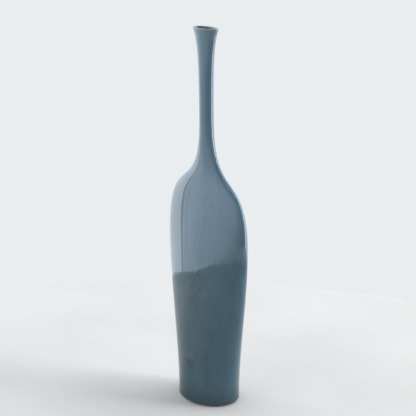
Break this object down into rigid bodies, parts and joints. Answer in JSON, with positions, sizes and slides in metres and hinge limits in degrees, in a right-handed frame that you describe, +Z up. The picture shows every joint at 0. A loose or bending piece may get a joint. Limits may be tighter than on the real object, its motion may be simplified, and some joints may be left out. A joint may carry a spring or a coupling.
{
  "type": "bud vase",
  "caption": "Tall flattened bottle-shaped glazed stoneware bud vase with a broad shoulder, a long thin neck and a flared oval lip.",
  "frame": {"origin": "centre of the foot, on the surface that the vase stands on", "axes": "+Z up through the mouth, X along the broad faces (left to right), the broad faces look along -Y and +Y"},
  "size_m": [0.1276, 0.059, 0.4],
  "materials": {
    "bisque_clay": "matt",
    "luting_slip": "matt",
    "liner_glaze": "gloss",
    "slate_glaze": "gloss",
    "teal_glaze": "gloss"
  },
  "bodies": {
    "root": {"body_casting": "bisque_clay", "base_plug": "bisque_clay", "base_luting_slip": "luting_slip", "neck_casting": "bisque_clay", "neck_luting_slip": "luting_slip", "liner_glaze": "liner_glaze", "upper_glaze": "slate_glaze", "lower_glaze": "teal_glaze"}
  },
  "joints": []
}
